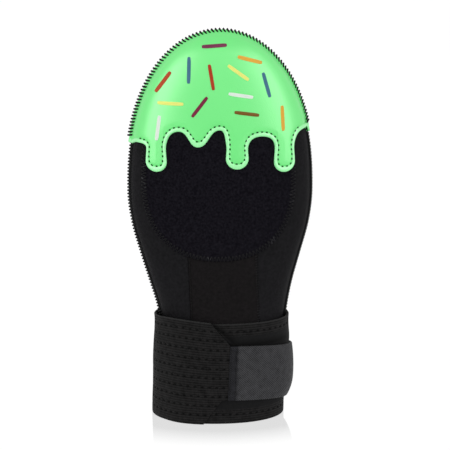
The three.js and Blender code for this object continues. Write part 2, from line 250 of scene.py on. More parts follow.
def two_faced(rows, columns, closed_columns=False):
    """The quads of a closed sheet: a grid, the same grid turned over, and strips between their borders."""
    total = rows * columns
    border = np.arange(columns)
    if not closed_columns:
        border = np.concatenate([
            border,
            np.arange(1, rows) * columns + columns - 1,
            (rows - 1) * columns + np.arange(columns - 2, -1, -1),
            np.arange(rows - 2, 0, -1) * columns,
        ])
    following = np.roll(border, -1)
    strip = np.stack([border, border + total, following + total, following], axis=-1)
    outside = grid_faces(rows, columns, closed_columns)
    return np.concatenate([outside, outside[:, ::-1] + total, strip])


def sheet_between(name, outer, inner, cloth, extra=None, closed_columns=False):
    """A closed sheet: an outer and an inner grid of one layout, joined round their borders."""
    return mesh_piece(
        name,
        np.concatenate([outer.reshape(-1, 3), inner.reshape(-1, 3)]),
        two_faced(*outer.shape[:2], closed_columns),
        np.concatenate([cloth.reshape(-1, 2)] * 2),
        extra={key: np.concatenate([values.ravel()] * 2) for key, values in (extra or {}).items()},
    )


def seam_x(seam, z):
    """Where an upright seam runs: straight up to SEAM_TOP, then upright, then in with the dome."""
    low, high = SEAMS[seam]
    straight = low + (high - low) * np.clip((z - STRAP_TOP) / (SEAM_TOP - STRAP_TOP), -1, 1)
    full = section(np.array(SEAM_TURNS_IN))[0]
    return straight * np.minimum(1, section(z)[0] / full + (z < SEAM_TURNS_IN))


def panel(node, face, left, right):
    """One panel: rows run from hem to tip, columns from seam to seam, and the edges roll in."""
    rises = np.concatenate([np.linspace(0, 1, 80), 1 + np.linspace(0, 1, 52)[1:]])[:, None]
    z = height_of(rises)
    half = section(z)[0]
    low = share_at_angle(front_angle(seam_x(left, z), z)) if left else -1 + 0 * z
    high = share_at_angle(front_angle(seam_x(right, z), z)) if right else 1 + 0 * z
    share = low + (high - low) * crowded(64)[None, :]
    girth = GIRTH * half
    inset = np.minimum(share - low, high - share) * girth
    angle = angle_at_share(share)
    if face == "palm":
        angle = 2 * np.pi - angle
    off = rolled(inset, SEAM_ROLL, SEAM_SINK) + rolled(z + 0 * share, 1.2, 0.8)
    outer = skin(rises, angle, off)
    outer[0, :, 2] = 0
    inner = skin(rises, angle, -NEOPRENE, ridge=0)
    inner[0, :, 2] = 0
    cloth = np.stack(np.broadcast_arrays(share * girth, z), axis=-1)
    piece = sheet_between(node + "_cloth", outer, inner, cloth)
    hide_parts(node)
    return piece


class Wire:
    """An output socket that is used like a number: each operator adds one Math node to its tree."""

    def __init__(self, socket):
        self.socket = socket

    def maths(self, operation, other=None, turned=False):
        node = self.socket.id_data.nodes.new("ShaderNodeMath")
        node.operation = operation
        values = [self] if other is None else [other, self] if turned else [self, other]
        for place, value in zip(node.inputs, values):
            plug(place, value)
        return Wire(node.outputs[0])

    def __add__(self, other):
        return self.maths("ADD", other)

    def __sub__(self, other):
        return self.maths("SUBTRACT", other)

    def __rsub__(self, other):
        return self.maths("SUBTRACT", other, True)

    def __mul__(self, other):
        return self.maths("MULTIPLY", other)

    __radd__, __rmul__ = __add__, __mul__

    def sine(self):
        return self.maths("SINE")

    def wave(self):
        """A sine that runs from 0 to 1."""
        return (self.sine() + 1) * 0.5

    def size(self):
        return self.maths("ABSOLUTE")

    def power(self, exponent):
        return self.maths("POWER", exponent)

    def over(self, limit):
        return self.maths("GREATER_THAN", limit)

    def held(self):
        """The value held between 0 and 1."""
        return self.maths("MAXIMUM", 0.0).maths("MINIMUM", 1.0)

    def wrapped(self, length):
        """The remainder after whole lengths, always from 0 to length."""
        return self.maths("FLOORED_MODULO", length)


def plug(place, value):
    """Link a wire to an input socket, or set the socket's own value."""
    if isinstance(value, Wire):
        place.id_data.links.new(value.socket, place)
    else:
        place.default_value = value


class Finish:
    """A material and its nodes. Its own sockets take the values that are the same all over."""

    def __init__(self, name, colour, roughness, **same_all_over):
        self.material = bpy.data.materials.new(name)
        self.material.use_nodes = True
        self.material.diffuse_color = (*colour, 1)
        self.tree = self.material.node_tree
        self.shader = self.tree.nodes["Principled BSDF"]
        self.set("Base Color", (*colour, 1))
        self.set("Roughness", roughness)
        for socket, value in same_all_over.items():
            self.set(socket.replace("_", " ").title().replace("Ior", "IOR"), value)

    def set(self, socket, value):
        plug(self.shader.inputs[socket], value)

    def node(self, kind, settings=None, values=None, output=0):
        """Any other node: its settings first, then the values or wires of its sockets."""
        node = self.tree.nodes.new("ShaderNode" + kind)
        for key, value in (settings or {}).items():
            setattr(node, key, value)
        for place, value in (values or {}).items():
            plug(node.inputs[place], value)
        return Wire(node.outputs[output])

    def cloth_place(self):
        """Millimetres along and up the cloth, from the piece's own attribute."""
        split = self.node("Attribute", {"attribute_name": "cloth"}, output="Vector")
        parts = self.tree.nodes.new("ShaderNodeSeparateXYZ")
        plug(parts.inputs[0], split)
        return Wire(parts.outputs[0]), Wire(parts.outputs[1])

    def object_place(self):
        return self.node("TexCoord", output="Object")

    def noise(self, scale, detail=2.0, roughness=0.5, place=None):
        """Smooth noise from about 0 to 1, at a scale in spots for each metre."""
        values = {"Scale": scale, "Detail": detail, "Roughness": roughness,
                  "Vector": place or self.object_place()}
        return self.node("TexNoise", {}, values)

    def mix(self, share, first, second):
        """A colour between two others."""
        node = self.tree.nodes.new("ShaderNodeMix")
        node.data_type = "RGBA"
        plug(node.inputs[0], share)
        for place, value in ((6, first), (7, second)):
            plug(node.inputs[place], value if isinstance(value, Wire) else (*value, 1))
        return Wire(node.outputs[2])

    def relief(self, height, depth, strength=1.0):
        """A bump, from a height of 0 to 1 that stands for a depth in metres."""
        self.set("Normal", self.node("Bump", {}, {"Height": height, "Distance": depth,
                                                  "Strength": strength}, "Normal"))


def jersey(name, colour, lighter, wale):
    """Jersey-faced neoprene: rows of small V stitches, a short pile and slow changes in tone."""
    finish = Finish(name, colour, 0.72, specular_ior_level=0.04)
    along, up = finish.cloth_place()
    lean = (along * (2 * np.pi / wale)).sine().size()
    stitch = (up * (2 * np.pi / (0.8 * wale)) + lean * 2.2).wave()
    slow = finish.noise(28, 3)
    fuzz = finish.noise(1400, 2)
    pile = finish.noise(480, 2)
    height = stitch * 0.55 * lean + fuzz * 0.35 + slow * 0.3
    tone = slow * 0.4 + (pile - 0.5) * 1.5 + fuzz * 0.2 + stitch * 0.15 + 0.1
    finish.set("Base Color", finish.mix(tone, colour, lighter))
    finish.set("Roughness", slow * 0.12 + 0.64)
    finish.relief(height, 0.00022, 0.8)
    return finish.material


NEOPRENE_SIDE = jersey("jersey_neoprene", (0.0034, 0.0032, 0.0038), (0.0112, 0.0108, 0.0123), 0.9)
NEOPRENE_MIDDLE = jersey("ribbed_jersey_neoprene", (0.0030, 0.0025, 0.0027), (0.0088, 0.0074, 0.0079), 1.3)

for node, face, left, right in (
    ("front_left_panel", "front", None, "left"),
    ("front_middle_panel", "front", "left", "right"),
    ("front_right_panel", "front", "right", None),
    ("palm_left_panel", "palm", None, "left"),
    ("palm_middle_panel", "palm", "left", "right"),
    ("palm_right_panel", "palm", "right", None),
):
    cloth_panel = panel(node, face, left, right)
    middle = node == "front_middle_panel"
    cloth_panel.data.materials.append(NEOPRENE_MIDDLE if middle else NEOPRENE_SIDE)

# The patch is a brushed loop knit that covers the pocket for the board on the back of the hand.
# Its cut edge is bound down by a wide zigzag stitch.
KNIT = 0.9
PATCH_HALF, PATCH_ACROSS = 55.5, -1.8  # half its width, and how far its middle lies from the mitt's
PATCH_MIDDLE = 180.0
PATCH_TOP = 276.0
PATCH_FOOT, PATCH_FULLNESS = 57.6, 2.35  # how far the lower edge hangs, and how full its curve is
BORDER = 4.2  # the width of the zigzag


def patch_outline(turn):
    """The patch's edge from the front: the shell's own outline drawn in above, and below a superellipse."""
    up = np.sin(turn)
    above = PATCH_HALF * np.sign(np.cos(turn)) * np.sqrt(np.clip(1 - np.abs(up) ** DOME_OUTLINE, 0, 1))
    below = PATCH_HALF * signed_power(np.cos(turn), 2 / PATCH_FULLNESS)
    foot = -PATCH_FOOT * np.abs(up) ** (2 / PATCH_FULLNESS)
    across = PATCH_ACROSS + np.where(up > 0, above, below)
    return across, PATCH_MIDDLE + np.where(up > 0, (PATCH_TOP - PATCH_MIDDLE) * up, foot)


def patch_place(turn, inset):
    """A place on the patch, by the turn round its middle and the inset from its edge."""
    x, z = patch_outline(turn)
    reach = np.hypot(x - PATCH_ACROSS, z - PATCH_MIDDLE)
    left = np.maximum(1 - inset / reach, 0)
    return PATCH_ACROSS + (x - PATCH_ACROSS) * left, PATCH_MIDDLE + (z - PATCH_MIDDLE) * left


def patch_top(inset):
    """How high the patch stands off the shell: it swells past the tight border."""
    return KNIT + rolled(inset, 0.8, KNIT) + 0.35 * ease((inset - BORDER) / 7)


turns = np.linspace(0, 2 * np.pi, 361)[:-1][None, :]
insets = np.concatenate(
    [[0, 0.05, 0.15, 0.3, 0.5, 0.8], np.linspace(1.2, 12, 22), np.linspace(14, 110, 40)]
)
x, z = patch_place(turns, insets[:, None])
outer = skin(rise_of(z), front_angle(x, z), patch_top(np.minimum(insets, 50))[:, None] + 0 * x)
inner = skin(rise_of(z), front_angle(x, z), -0.15)
patch = sheet_between("board_patch_knit", outer, inner, np.stack([x, z], -1), closed_columns=True)
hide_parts("board_patch")

brushed = Finish("brushed_loop_knit", (0.0068, 0.0062, 0.0085), 0.85, specular_ior_level=0.0)
loops = brushed.noise(620, 3, 0.6)
clumps = brushed.noise(90, 2)
fluff = brushed.noise(2400, 1)
pile_tone = brushed.mix((loops - 0.35) * 2.0, (0.0046, 0.0041, 0.0059), (0.0149, 0.0138, 0.0182))
brushed.set("Base Color", pile_tone)
brushed.relief(loops * 0.7 + fluff * 0.2 + clumps * 0.3, 0.0009, 1.0)
patch.data.materials.append(brushed.material)


def thread_tubes(name, paths, lifts, radius, sides=6, taper=0.0):
    """Lengths of thread: a ring of points carried along each path, drawn to a point at both ends.

    paths is (threads, points, 3), and lifts gives the way out of the surface at each point."""
    ahead = unit(np.gradient(paths, axis=1))
    beside = unit(np.cross(ahead, lifts))
    out = np.cross(beside, ahead)
    threads, count = paths.shape[:2]
    along = np.linspace(0, 1, count)
    thick = radius * np.clip(1 - taper * np.abs(2 * along - 1) ** 3, 0, 1)
    thick[[0, -1]] = 0
    spin = np.arange(sides) * 2 * np.pi / sides
    ring = (beside[:, :, None] * np.cos(spin)[None, None, :, None]
            + out[:, :, None] * np.sin(spin)[None, None, :, None])
    points = paths[:, :, None] + ring * thick[None, :, None, None]
    one = grid_faces(count, sides, closed_columns=True)
    starts = np.arange(threads) * count * sides
    faces = (one[None] + starts[:, None, None]).reshape(-1, 4)
    cloth = np.broadcast_arrays(along[:, None] * count, spin, points[..., 0])[:2]
    return mesh_piece(name, points, faces, np.stack(cloth, -1))


def thread_finish(name, colour, lighter, roughness=0.5):
    """Twisted thread: fine slanting ridges and a soft shine."""
    finish = Finish(name, colour, roughness, specular_ior_level=0.06)
    along, spin = finish.cloth_place()
    twist = (along * 2.1 + spin * 2).wave()
    finish.set("Base Color", finish.mix(twist * 0.6 + finish.noise(900) * 0.4, colour, lighter))
    finish.relief(twist, 0.00012, 0.7)
    return finish.material


BLACK_THREAD = thread_finish("black_thread", (0.0012, 0.0014, 0.0012), (0.0065, 0.0070, 0.0066))
GREY_THREAD = thread_finish("charcoal_thread", (0.0040, 0.0040, 0.0046), (0.0240, 0.0240, 0.0260), 0.35)

# The zigzag that binds the patch runs the whole way round it, also where the leather covers it.
ZIGZAG_STEP, ZIGZAG_THICK = 1.35, 0.3  # from bite to bite, and the thread's radius
edge_turns = np.linspace(0, 2 * np.pi, 4001)
edge_x, edge_z = patch_outline(edge_turns)
edge_arc = arc_of(np.stack([edge_x, edge_z], -1))
bites = int(edge_arc[-1] / ZIGZAG_STEP / 2) * 2
along_bite = np.linspace(0, 1, 7)[None, :]
bite = np.arange(bites)[:, None] + along_bite
swing = np.abs((bite / 2 - np.floor(bite / 2)) * 2 - 1)
bite_turn = np.interp(bite * edge_arc[-1] / bites, edge_arc, edge_turns)
bite_inset = -0.5 + (BORDER + 0.4) * swing
bx, bz = patch_place(bite_turn, bite_inset)
bite_off = patch_top(np.maximum(bite_inset, 0)) + 0.05 + 0.3 * np.sin(np.pi * along_bite)
zigzag = thread_tubes("patch_zigzag_thread", skin(rise_of(bz), front_angle(bx, bz), bite_off),
                      skin_normal(rise_of(bz), front_angle(bx, bz)), ZIGZAG_THICK, 5)
binding = Finish("binding_thread", (0.006, 0.006, 0.007), 0.5, specular_ior_level=0.1)
glints = ((binding.noise(420, 1) * 0.5 + binding.noise(48, 2) - 0.86) * 9).held()
binding.set("Base Color", binding.mix(glints, (0.0042, 0.0040, 0.0048), (0.052, 0.052, 0.056)))
binding.relief(binding.noise(2200), 0.0001, 0.6)
zigzag.data.materials.append(binding.material)

# The caps are glossy coated leather over the fingertips. The hem on the back of the hand is cut like
# icing that drips; the palm's hem is plain. Each is held down by stitches 3 to 4 mm from its edge.
LEATHER = 1.2
LEATHER_SWELL, OVER_KNIT = 0.4, 0.4  # how far it swells inside its stitches, and clears the knit
HEM, DRIP, DRIP_WIDTH = 214.0, 26.0, 16.0
STITCH_INSET, STITCH_SWAY = 3.2, 0.9  # how far inside the hem its stitches run, and how far that varies
NECK_HANG, PINCH = 0.36, 0.08  # where a long drip is narrowest, and by how much
LEFT_FALL, RIGHT_FALL = 2.4, 0.2  # how far the drip hem falls towards each side seam
PALM_HEM_SAG, PALM_LIFT = 8.0, 1.5  # how far the palm hem sags, and how much higher its ends are
CAP_EVEN = 236.0  # the height above which the cap no longer follows the drips
DRIP_MIDDLE = 205.0  # the height at which the place of a drip's middle is taken
LEATHER_GAP, PALM_GAP = 0.12, 0.12  # how far the leather's underside clears the shell on each face
# Each turn of the hem: its place as a share of the half width, its hang as a share of DRIP, and for a
# long drip its width as a share of DRIP_WIDTH.
HEM_TURNS = (
    (-0.87, 0.24, 0), (-0.681, 1, 0.91), (-0.446, -0.125, 0), (-0.252, 0.3, 0), (-0.019, -0.165, 0),
    (0.162, 0.92, 1.05), (0.417, 0.02, 0), (0.662, 1.03, 0.95), (0.905, -0.1, 0),
)


def bend(start, first, second, end, count=60):
    """A cubic curve from start to end that is drawn towards two points between them."""
    t = np.linspace(0, 1, count, endpoint=False)[:, None]
    p = [np.array(q, float) for q in (start, first, second, end)]
    return (1 - t) ** 3 * p[0] + 3 * (1 - t) ** 2 * t * p[1] + 3 * (1 - t) * t * t * p[2] + t**3 * p[3]


def at_seam(side, z):
    """Where the front view shows a side seam at a height: side is -1 at the left and 1 at the right."""
    half, _, _, shift, _ = section(z)
    return np.array((shift + side * half, z))


def hem_run():
    """The hem from seam to seam: points, how far each leans to its drip's middle, and that middle.

    It runs level at every turn. A long drip has upright sides and a half circle below."""
    turns = [
        (across * MITT_HALF, HEM - hang * DRIP, width * DRIP_WIDTH / 2)
        for across, hang, width in HEM_TURNS
    ]
    here = np.array(turns[0][:2])
    start = at_seam(-1, here[1] - LEFT_FALL)
    runs = [(bend(start, start + (0.5, 0.8), here - (3, 0), here, 40), 0, here[0])]
    neck = HEM - NECK_HANG * DRIP
    after_drip = False
    for x, z, radius in turns[1:]:
        half_way = (here[0] + x) / 2
        if radius:
            side = x - radius
            shoulder = here + (0.74 * (side - here[0]), 0)
            runs.append((bend(here, shoulder, (side, 0.3 * neck + 0.7 * here[1]), (side, neck)), 0, x))
            drop = np.linspace((side, neck), (side, z + radius), 40, endpoint=False)
            runs.append((drop, np.linspace(0, 1, 40, endpoint=False), x))
            turn = np.linspace(np.pi, 2 * np.pi, 80, endpoint=False)
            round_ = np.stack([x + radius * np.cos(turn), z + radius + radius * np.sin(turn)], -1)
            runs.append((round_, 1, x))
            here = np.array((x + radius, neck))
            climb = np.linspace((x + radius, z + radius), here, 40, endpoint=False)
            runs.append((climb, np.linspace(1, 0, 40, endpoint=False), x))
        elif after_drip:
            shoulder = (x + 0.62 * (here[0] - x), z)
            runs.append((bend(here, (here[0], 0.3 * here[1] + 0.7 * z), shoulder, (x, z)), 0, x))
            here = np.array((x, z))
        else:
            runs.append((bend(here, (half_way, here[1]), (half_way, z), (x, z)), 0, x))
            here = np.array((x, z))
        after_drip = bool(radius)
    end = at_seam(1, here[1] - RIGHT_FALL)
    runs.append((np.append(bend(here, here + (2, 0), end - (0.5, -0.8), end, 40), [end], axis=0), 0, here[0]))
    points = np.concatenate([run[0] for run in runs])
    leans = np.concatenate([np.broadcast_to(run[1], len(run[0])) for run in runs])
    middles = np.concatenate([np.broadcast_to(run[2], len(run[0])) for run in runs])
    return points, leans, middles


hem_points, hem_leans, hem_middles = hem_run()
hem_girth = GIRTH * section(hem_points[:, 1])[0]
hem_flat = np.stack([share_at_angle(front_angle(*hem_points.T)) * hem_girth, hem_points[:, 1]], -1)
hem_arc = arc_of(hem_flat)


def hem_place(arc, inset):
    """A place on the cap: along the hem by arc, and in from its edge at right angles to it.

    It gives the share round the face and the height, before the drips are drawn in at their necks."""
    ahead = way_on(arc, hem_arc, hem_flat, 0.4)
    edge = on_line(arc, hem_arc, hem_flat)
    share = (edge[..., 0] - ahead[..., 1] * inset) / np.interp(arc, hem_arc, hem_girth)
    return np.clip(share, -1, 1), edge[..., 1] + ahead[..., 0] * inset


def drawn_in(share, z):
    """The angle at a share and height once each long drip is pinched at its neck."""
    angle = angle_at_share(share)
    x = bare_skin(rise_of(z), angle)[..., 0]
    shift = 0 * x
    bell = np.exp(-(((z - (HEM - NECK_HANG * DRIP)) / 6) ** 2))
    for across, _, width in HEM_TURNS:
        if width:
            beside = x - across * MITT_HALF
            reach = np.abs(beside) / (width * DRIP_WIDTH / 2)
            shift = shift - beside * PINCH * bell * (1 - ease((reach - 1) / 0.8))
    return np.where(np.abs(shift) > 1e-6, front_angle(x + shift, z), angle)


def cap_base(rise, angle):
    """How far the leather's underside stands off the shell: it steps up where it lies on the patch."""
    point = bare_skin(rise, angle)
    x, z = point[..., 0], point[..., 2]
    up = (z - PATCH_MIDDLE) / np.where(z > PATCH_MIDDLE, PATCH_TOP - PATCH_MIDDLE, PATCH_FOOT)
    side = np.abs(x - PATCH_ACROSS) / PATCH_HALF
    reach = (side**PATCH_FULLNESS + np.abs(up) ** PATCH_FULLNESS) ** (1 / PATCH_FULLNESS)
    inset = (1 / np.maximum(reach, 0.05) - 1) * np.hypot(x - PATCH_ACROSS, z - PATCH_MIDDLE)
    on_patch = ease((inset + 9) / 14) * (np.sin(angle) > 0)
    return LEATHER_GAP + (KNIT + OVER_KNIT) * on_patch


def leather_top(inset, row=STITCH_INSET):
    """The leather's thickness by the distance from its hem: a rolled edge, a lip and a stitch groove."""
    lip = 0.3 * np.exp(-(((inset / row - 0.42) / 0.3) ** 2))
    groove = 0.42 * np.exp(-(((inset - row) / 0.5) ** 2))
    return LEATHER + rolled(inset, 0.8, 0.95) + lip - groove + LEATHER_SWELL * ease((inset - row) / 4.2)


def hem_edge_highlight(inset, row):
    """1 on the border outside the stitches, where a pale highlight is painted on the curved edge, 0 inside
    them.
    """
    return 1 - ease((inset / row - 0.72) / 0.3)


def row_inset(arc):
    """How far inside the hem the stitches run: furthest at the foot of each drip, nearest beside it."""
    inset = STITCH_INSET + 0 * arc
    for across, hang, width in HEM_TURNS:
        if hang > 0.25:
            gap = np.hypot(hem_points[:, 0] - across * MITT_HALF, hem_points[:, 1] - HEM + hang * DRIP)
            away = np.abs(arc - hem_arc[np.argmin(gap)])
            inset = inset + STITCH_SWAY * np.exp(-((away / 6) ** 2))
            inset = inset - 0.6 * (width > 0) * np.exp(-(((away - 17) / 6) ** 2))
    return inset


# The rows run in from the edge as shares of the way to the stitches, and crowd where the groove is.
ROW_SHARES = np.array([
    0, 0.008, 0.025, 0.06, 0.11, 0.18, 0.27, 0.4, 0.55, 0.68,
    0.78, 0.86, 0.92, 0.965, 1, 1.04, 1.09, 1.16, 1.25,
])
arcs = np.concatenate([
    np.linspace(0, 5, 26, endpoint=False),
    np.linspace(5, hem_arc[-1] - 5, 390, endpoint=False),
    np.linspace(hem_arc[-1] - 5, hem_arc[-1], 27),
])
row_in = row_inset(arcs)
inset = ROW_SHARES[:, None] * row_in[None, :]
share, z = hem_place(arcs[None, :] + 0 * inset, inset)
leans = np.interp(arcs, hem_arc, hem_leans)
middles = np.interp(arcs, hem_arc, hem_middles)
middle_share = share_at_angle(front_angle(middles, DRIP_MIDDLE + 0 * middles))
even_share = share[-1] + (middle_share - share[-1]) * 0.45 * leans
even_share[0], even_share[-1] = -1, 1
# Columns that would cross are put in order, and then spread by a running mean.
ordered = np.pad(np.maximum.accumulate(even_share), 12, mode="reflect", reflect_type="odd")
even_share = np.convolve(ordered, np.ones(25) / 25, "valid")
steps = np.linspace(0, 1, 25)[1:, None] ** 1.25
ruled_share = share[-1] + (even_share - share[-1]) * steps
ruled_z = z[-1] + (CAP_EVEN - z[-1]) * steps
ruled_flat = np.stack([ruled_share * GIRTH * section(ruled_z)[0], ruled_z], -1)
from_hem = np.linalg.norm(ruled_flat[:, :, None] - hem_flat[None, None, ::3], axis=-1).min(axis=2)
ruled_inset = np.maximum(from_hem, inset[-1])
rises = np.linspace(rise_of(CAP_EVEN), 2, 54)[1:, None]
share = np.concatenate([share, ruled_share, even_share + 0 * rises])
z = np.concatenate([z, ruled_z, height_of(rises) + 0 * even_share])
inset = np.concatenate([inset, ruled_inset, 20.0 + 0 * z[-len(rises):]])
angle = drawn_in(share, z)
rise = rise_of(z)
rise[-len(rises):] = rises
base = cap_base(rise, angle)
seam_inset = (1 - np.abs(share)) * GIRTH * section(z)[0]
outer = skin(rise, angle, base + leather_top(inset, row_in) + rolled(seam_inset, 0.6, 0.15))
cap = sheet_between(
    "drip_cap_leather", outer, skin(rise, angle, base - 0.1),
    np.stack([share * GIRTH * PALM_HALF, z], -1),
    {"hem_edge_highlight": hem_edge_highlight(inset, row_in)},
)
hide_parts("fingertip_cap_front")

ends = hem_points[[0, -1], 1] + PALM_LIFT


def palm_hem_height(share):
    """The palm hem's height at a share of the way round: a parabola that sags between its two ends."""
    t = (share + 1) / 2
    sag = sum(ends) / 2 - 2 * PALM_HEM_SAG
    return (1 - t) ** 2 * ends[0] + 2 * t * (1 - t) * sag + t * t * ends[1]


palm_share = (crowded(200) * 2 - 1)[None, :]
palm_hem = palm_hem_height(palm_share)
low_z = palm_hem + ROW_SHARES[:, None] * STITCH_INSET
ruled_z = low_z[-1] + (CAP_EVEN - low_z[-1]) * np.linspace(0, 1, 20)[1:, None]
z = np.concatenate([low_z, ruled_z, height_of(rises) + 0 * palm_hem])
rise = rise_of(z)
rise[-len(rises):] = rises
angle = 2 * np.pi - angle_at_share(palm_share + 0 * z)
seam_inset = (1 - np.abs(palm_share)) * GIRTH * section(z)[0]
outer = skin(rise, angle, PALM_GAP + leather_top(z - palm_hem) + rolled(seam_inset, 0.6, 0.15))
palm_cap = sheet_between(
    "palm_cap_leather", outer, skin(rise, angle, PALM_GAP - 0.1),
    np.stack([palm_share * GIRTH * PALM_HALF + 0 * z, z], -1),
    {"hem_edge_highlight": hem_edge_highlight(z - palm_hem, STITCH_INSET)},
)
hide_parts("fingertip_cap_palm")

gloss = Finish("gloss_coated_leather", (0.092, 0.74, 0.146), 0.45, specular_ior_level=0.8,
               coat_weight=0.35, coat_roughness=0.35)
pebble_place = {"Scale": 1100.0, "Vector": gloss.object_place()}
pebble = gloss.node("TexVoronoi", {"feature": "F1"}, pebble_place, "Distance")
fine = gloss.noise(2600, 2)
broad = gloss.noise(22, 2)
border = gloss.node("Attribute", {"attribute_name": "hem_edge_highlight"}, output="Fac")
hide = gloss.mix(broad, (0.080, 0.720, 0.134), (0.104, 0.760, 0.158))
# Painted highlight: the border outside the hem stitches is mixed towards a pale green.
gloss.set("Base Color", gloss.mix(border * 0.85, hide, (0.300, 0.86, 0.360)))
gloss.set("Roughness", broad * 0.08 + fine * 0.06 + 0.38)
gloss.relief(pebble * 0.6 + fine * 0.3 + broad * 0.6, 0.00016, 0.5)
for piece in (cap, palm_cap):
    piece.data.materials.append(gloss.material)

# The hem stitches are a row of short dark threads, each drawn down into the leather at both ends.
HEM_PITCH, HEM_BITE, HEM_MARGIN = 3.4, 1.1, 1.0
HEM_THICK, HEM_TAPER = 0.5, 0.3  # the thread's radius, and how far it draws in at its ends
HEM_ROW = (-59.5, 57.5)  # where across the mitt the row starts and ends
# The row is spaced along the line that it follows, which is shorter than the edge inside a drip.
row_arc = np.linspace(0, hem_arc[-1], 3000)
row_share, row_z = hem_place(row_arc, row_inset(row_arc))
row_flat = np.stack([row_share * GIRTH * section(row_z)[0], row_z], -1)
row_run = arc_of(row_flat)
row_length = row_run[-1] - 2 * HEM_MARGIN
count = int(row_length / HEM_PITCH)
middle_run = HEM_MARGIN + (np.arange(count) + 0.5) * row_length / count
row_x = np.interp(np.interp(middle_run, row_run, row_arc), hem_arc, hem_points[:, 0])
middle_run = middle_run[(row_x > HEM_ROW[0]) & (row_x < HEM_ROW[1])]
along = np.linspace(-0.5, 0.5, 9)
stitch_run = middle_run[:, None] + along[None, :] * HEM_BITE
stitch_arc = np.interp(stitch_run, row_run, row_arc)
stitch_share, stitch_z = hem_place(stitch_arc, row_inset(stitch_arc))
stitch_angle = drawn_in(stitch_share, stitch_z)
stitch_rise = rise_of(stitch_z)
depth = leather_top(np.array(STITCH_INSET)) + 0.25 - 0.6 * np.abs(2 * along) ** 4
stitch_off = cap_base(stitch_rise, stitch_angle) + depth[None, :]
hem_thread = thread_tubes("drip_hem_thread", skin(stitch_rise, stitch_angle, stitch_off),
                          skin_normal(stitch_rise, stitch_angle), HEM_THICK, 8, HEM_TAPER)
palm_run = np.arange(-MITT_HALF, MITT_HALF, HEM_PITCH)[:, None] + along[None, :] * HEM_BITE
palm_run = palm_run / (GIRTH * PALM_HALF)
palm_rise = rise_of(palm_hem_height(palm_run) + STITCH_INSET)
palm_angle = 2 * np.pi - angle_at_share(palm_run)
palm_off = PALM_GAP + depth[None, :] + 0 * palm_run
palm_thread = thread_tubes("palm_hem_thread", skin(palm_rise, palm_angle, palm_off),
                           skin_normal(palm_rise, palm_angle), HEM_THICK, 8, HEM_TAPER)
GREEN_THREAD = thread_finish("dark_green_thread", (0.001, 0.018, 0.003), (0.004, 0.045, 0.008))
for piece in (hem_thread, palm_thread):
    piece.data.materials.append(GREEN_THREAD)

# The side seam runs from the cuff over the fingertips and down again. Black whip stitches bind its two
# faces together, each slanting across it from the back of the hand to the palm.
SIDE_PITCH, TIP_PITCH = 2.38, 2.6
WHIP_THICK, WHIP_BACK = 0.72, 2.6  # the thread's radius, and how far it reaches over the palm

run_rises = np.concatenate([
    np.linspace(rise_of(STRAP_TOP - 4), 1, 400),
    1 + np.sin(np.linspace(0, np.pi / 2, 500))[1:],
])
right_side, left_side = bare_skin(run_rises, 0.0), bare_skin(run_rises, np.pi)[::-1]
seam_line = np.concatenate([right_side, left_side[1:]])
seam_line[:, 1] = 0
seam_arc = arc_of(seam_line)
tip_arc = seam_arc[len(right_side) - 1]
# The stitches stand further apart over the fingertips than down the sides.
spacing = SIDE_PITCH + (TIP_PITCH - SIDE_PITCH) * np.exp(-(((seam_arc - tip_arc) / 60) ** 2))
stitch_count = np.concatenate([[0], np.cumsum(np.diff(seam_arc) / spacing[1:])])
whip_arc = np.interp(np.arange(int(stitch_count[-1])) + 0.5, stitch_count, seam_arc)[:, None]
across = np.linspace(-1, 1, 17)[None, :]  # from the back of the hand, over the edge, to the palm
front = np.clip(-across, 0, 1)
line = on_line(whip_arc, seam_arc, seam_line)
ahead = way_on(whip_arc, seam_arc, seam_line, 1)
outward = np.stack([ahead[..., 2], 0 * whip_arc, -ahead[..., 0]], -1)
hem_side = np.where(line[..., 0] < 0, ends[0], ends[1])
on_leather = ease((line[..., 2] - hem_side - 1) / 1.2)
leftward = ease(0.5 - line[..., 0] / 120)
# Each stitch stands out a little from the crest of the seam and follows the leather on either side. It
# reaches further over the leather at the left.
stand = np.where(on_leather > 0.5, 0.75 + 0.3 * leftward, -0.2)
depth = np.where(across < 0, -(1.5 + 1.9 * leftward * leftward) * front, WHIP_BACK * across)
lie_front = stand * (1 - front) + 0.15 * front - 0.5 * front**8
lie_palm = stand * (1 - across**2) - 0.1 * across**2
lie = np.where(across < 0, lie_front, lie_palm)
out = seam_ridge(depth) + lie + (LEATHER + 0.05) * on_leather
aside = -(2.1 - 0.7 * leftward) * front
path = line + outward * out[..., None] + ahead * aside[..., None] + np.stack([0 * out, depth, 0 * out], -1)
facing = outward + np.stack([0 * out, 0.6 * across + 0 * out, 0 * out], -1)
whip = thread_tubes("side_seam_thread", path, facing, WHIP_THICK, 8, 0.1)
whip.data.materials.append(BLACK_THREAD)

# The upright seams on each face: a ladder of short bars over the right one, and a row of stitches
# beside the left one.
LADDER_PITCH, LADDER_WIDTH, LADDER_SLANT, LADDER_SHIFT = 1.95, 1.7, 0.5, -0.6
SIDE_ROW, ROW_PITCH, ROW_BITE = 1.3, 2.6, 1.9
UPRIGHT_THICK = 0.3  # the radius of the thread in both


def on_face(x, z, off, face):
    """Points that stand off the shell at a place in the front view, on either face."""
    angle = front_angle(x, z)
    angle = angle if face == "front" else 2 * np.pi - angle
    return skin(rise_of(z), angle, off), skin_normal(rise_of(z), angle)


def upright_stitches(name, face, seam, beside, low, high, pitch, width, height):
    """Short straight stitches up a seam, each a given width across and height along it."""
    z = np.arange(low, high, pitch)[:, None] + across * height / 2
    lift = 0.12 + 0.14 * np.cos(across * np.pi / 2) - 0.5 * np.abs(across) ** 8
    x = seam_x(seam, z) + beside + across * width / 2
    place, normal = on_face(x, z, lift + 0 * z, face)
    piece = thread_tubes(name, place, normal, UPRIGHT_THICK, 6, 0.2)
    piece.data.materials.append(GREY_THREAD if seam == "right" else BLACK_THREAD)


